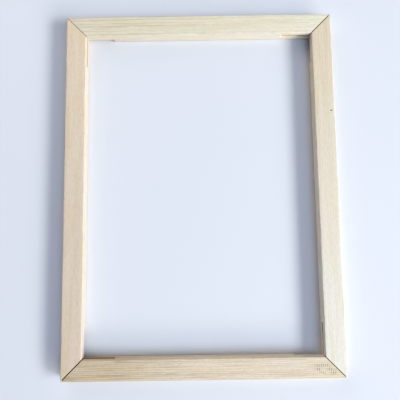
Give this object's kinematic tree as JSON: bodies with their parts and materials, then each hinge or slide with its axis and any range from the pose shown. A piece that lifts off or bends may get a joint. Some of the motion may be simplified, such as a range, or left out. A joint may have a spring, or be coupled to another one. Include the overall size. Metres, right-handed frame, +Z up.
{
  "type": "screen printing frame",
  "caption": "Flat rectangular wooden frame of mitred rails with interlocking slip tongues at the corners, open window, no mesh fitted.",
  "frame": {"origin": "centre of the frame on the flat surface it lies on, under the middle of the window", "axes": "+X across the frame to the right-hand long rail, +Y along it to the top short rail, +Z up through the rails' thickness to the mitred face that the mesh goes on"},
  "size_m": [0.3, 0.4, 0.015],
  "materials": {
    "top_rail_pine": "bare planed softwood, long brown growth lines at one end",
    "bottom_rail_pine": "bare planed softwood, close brown growth lines",
    "left_rail_pine": "bare planed softwood, soft pinkish bands",
    "right_rail_pine": "bare planed softwood, faint lines and one pin knot"
  },
  "bodies": {
    "bottom_rail": {"bottom_rail": "bottom_rail_pine"},
    "left_rail": {"left_rail": "left_rail_pine"},
    "right_rail": {"right_rail": "right_rail_pine"},
    "top_rail": {"top_rail": "top_rail_pine"}
  },
  "joints": [
    {"name": "left_rail_pull", "type": "slide", "parent": "bottom_rail", "child": "left_rail", "axis": [-1, 0, 0], "range_m": [0, 0.04]},
    {"name": "right_rail_pull", "type": "slide", "parent": "bottom_rail", "child": "right_rail", "axis": [1, 0, 0], "range_m": [0, 0.04]},
    {"name": "top_rail_pull", "type": "slide", "parent": "bottom_rail", "child": "top_rail", "axis": [0, 1, 0], "range_m": [0, 0.04]}
  ]
}
